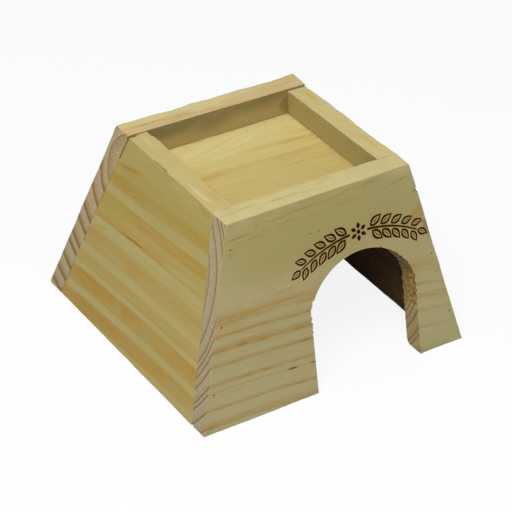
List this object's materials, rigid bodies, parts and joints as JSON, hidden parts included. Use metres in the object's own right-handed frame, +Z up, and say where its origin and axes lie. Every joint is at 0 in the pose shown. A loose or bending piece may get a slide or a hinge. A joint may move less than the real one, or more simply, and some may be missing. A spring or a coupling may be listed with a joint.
{
  "type": "wooden rodent house",
  "caption": "Leaning-walled pine den for a small rodent, with an off-centre arched doorway in the front board and a shallow tray let into its flat top.",
  "frame": {"origin": "middle of the footprint, on the surface that the house stands on", "axes": "+Z up, -Y out of the doorway, +X to the right of someone who looks at the doorway"},
  "size_m": [0.1804, 0.173, 0.115],
  "materials": {
    "front_pine": "unfinished planed pine, pale greyish yellow, with a rough sawn doorway and a burnt ornament",
    "side_pine": "unfinished planed pine with wide orange grain bands",
    "back_pine": "unfinished planed pine, slightly pink along its top edge",
    "tray_pine": "unfinished planed pine, pale yellow, with fine grain lines",
    "brad_steel": "dull dark wire brads, set below the surface"
  },
  "bodies": {
    "root": {"front_board": "front_pine", "back_board": "back_pine", "left_board": "side_pine", "right_board": "side_pine", "tray_panel": "tray_pine", "front_left_brad_low": "brad_steel", "front_left_brad_middle": "brad_steel", "front_left_brad_high": "brad_steel", "front_right_brad_low": "brad_steel", "front_right_brad_middle": "brad_steel", "front_right_brad_high": "brad_steel", "back_left_brad_low": "brad_steel", "back_left_brad_middle": "brad_steel", "back_left_brad_high": "brad_steel", "back_right_brad_low": "brad_steel", "back_right_brad_middle": "brad_steel", "back_right_brad_high": "brad_steel", "front_tray_brad_1": "brad_steel", "front_tray_brad_2": "brad_steel", "right_tray_brad_1": "brad_steel", "right_tray_brad_2": "brad_steel", "back_tray_brad_1": "brad_steel", "back_tray_brad_2": "brad_steel", "left_tray_brad_1": "brad_steel", "left_tray_brad_2": "brad_steel"}
  },
  "joints": []
}
